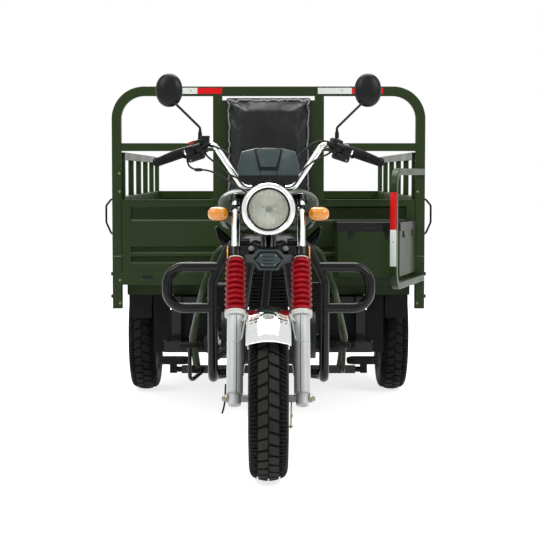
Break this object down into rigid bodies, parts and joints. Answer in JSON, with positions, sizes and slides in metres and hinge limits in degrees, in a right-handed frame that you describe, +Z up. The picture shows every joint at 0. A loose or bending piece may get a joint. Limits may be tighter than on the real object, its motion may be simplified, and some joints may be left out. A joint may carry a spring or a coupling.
{
  "type": "cargo motor tricycle",
  "caption": "Three-wheeled cargo motorcycle with a steered front wheel, drop-side cargo bed with fences, tool box, crash bar and leaf-sprung rear axle.",
  "frame": {"origin": "on the ground, at the middle of the overall length and width", "axes": "+Z up, the vehicle faces -Y, +X is the rider's left"},
  "size_m": [1.433, 3.7519, 1.4394],
  "materials": {
    "frame_black": "gloss black paint",
    "body_green": "olive green paint, semi gloss",
    "tank_green": "gloss olive green paint",
    "lid_black": "satin black paint",
    "engine_black": "satin black, finned",
    "exhaust_steel": "dull steel",
    "panel_black": "grained plastic",
    "seat_vinyl": "padded vinyl, piped edges",
    "tyre": "block tread",
    "rim_paint": "black paint",
    "silver_paint": "silver paint",
    "chrome": "bright chrome",
    "bellows_red": "deep red rubber",
    "grip_rubber": "ribbed rubber",
    "control_black": "black moulding",
    "lens_clear": "clear fluted glass",
    "amber": "amber lens",
    "cowl_grey": "dark slate plastic",
    "red_lens": "red lens",
    "plate_white": "blank plate",
    "axle_zinc": "yellow zinc",
    "cable_black": "sheathed cable",
    "flap_rubber": "black sheet"
  },
  "bodies": {
    "chassis": {"chassis_frame": "frame_black", "rear_frame": "frame_black", "frame_side_hoops": "body_green", "crash_bar": "frame_black", "engine": "engine_black", "exhaust": "exhaust_steel", "battery_box": "panel_black", "air_filter_box": "panel_black", "fuel_tank": "tank_green", "knee_panels": "panel_black", "rider_seat": "seat_vinyl", "headboard": "body_green", "backrest": "seat_vinyl", "cargo_floor": "body_green", "tool_box": "body_green", "tool_box_guard": "body_green", "footrests": "grip_rubber", "foot_pedals": "frame_black", "mud_flaps": "flap_rubber", "mud_apron": "flap_rubber", "rear_axle": "frame_black", "leaf_springs": "frame_black", "tail_lights": "red_lens", "number_plate": "plate_white"},
    "steering": {"fork_yokes": "frame_black", "fork_tubes": "chrome", "fork_sliders": "silver_paint", "fork_bellows": "bellows_red", "front_mudguard": "chrome", "front_axle": "axle_zinc", "handlebar": "chrome", "hand_grips": "grip_rubber", "hand_controls": "control_black", "mirrors": "control_black", "headlight": "chrome", "headlight_lens": "lens_clear", "turn_signals": "amber", "instrument_cowl": "cowl_grey", "horn_cover": "cowl_grey", "control_cables": "cable_black"},
    "front_wheel": {"front_tyre": "tyre", "front_rim": "rim_paint"},
    "rear_wheel_left": {"rear_tyre_left": "tyre", "rear_rim_left": "rim_paint"},
    "rear_wheel_right": {"rear_tyre_right": "tyre", "rear_rim_right": "rim_paint"},
    "side_gate_left": {"side_gate_left": "body_green", "side_fence_left": "body_green", "gate_latch_left": "frame_black"},
    "side_gate_right": {"side_gate_right": "body_green", "side_fence_right": "body_green", "gate_latch_right": "frame_black"},
    "tailgate": {"tailgate": "body_green"},
    "tool_box_lid": {"tool_box_lid": "lid_black"}
  },
  "joints": [
    {"name": "steering", "type": "hinge", "parent": "chassis", "child": "steering", "pos_m": [0, -1.23121, 0.88685], "axis": [0, 0.4384, 0.8988], "range_deg": [-40, 40]},
    {"name": "front_wheel_spin", "type": "hinge", "parent": "steering", "child": "front_wheel", "pos_m": [0, -1.592, 0.284], "axis": [1, 0, 0], "continuous": true},
    {"name": "rear_wheel_left_spin", "type": "hinge", "parent": "chassis", "child": "rear_wheel_left", "pos_m": [0.604, 0.608, 0.284], "axis": [1, 0, 0], "continuous": true},
    {"name": "rear_wheel_right_spin", "type": "hinge", "parent": "chassis", "child": "rear_wheel_right", "pos_m": [-0.604, 0.608, 0.284], "axis": [1, 0, 0], "continuous": true},
    {"name": "side_gate_left_hinge", "type": "hinge", "parent": "chassis", "child": "side_gate_left", "pos_m": [0.672, 0.758, 0.62], "axis": [0, 1, 0], "range_deg": [0, 170]},
    {"name": "side_gate_right_hinge", "type": "hinge", "parent": "chassis", "child": "side_gate_right", "pos_m": [-0.672, 0.758, 0.62], "axis": [0, -1, 0], "range_deg": [0, 170]},
    {"name": "tailgate_hinge", "type": "hinge", "parent": "chassis", "child": "tailgate", "pos_m": [0, 1.868, 0.62], "axis": [-1, 0, 0], "range_deg": [0, 170]},
    {"name": "tool_box_lid_hinge", "type": "hinge", "parent": "chassis", "child": "tool_box_lid", "pos_m": [0.46, -0.2768, 0.856], "axis": [-1, 0, 0], "range_deg": [0, 80]}
  ]
}
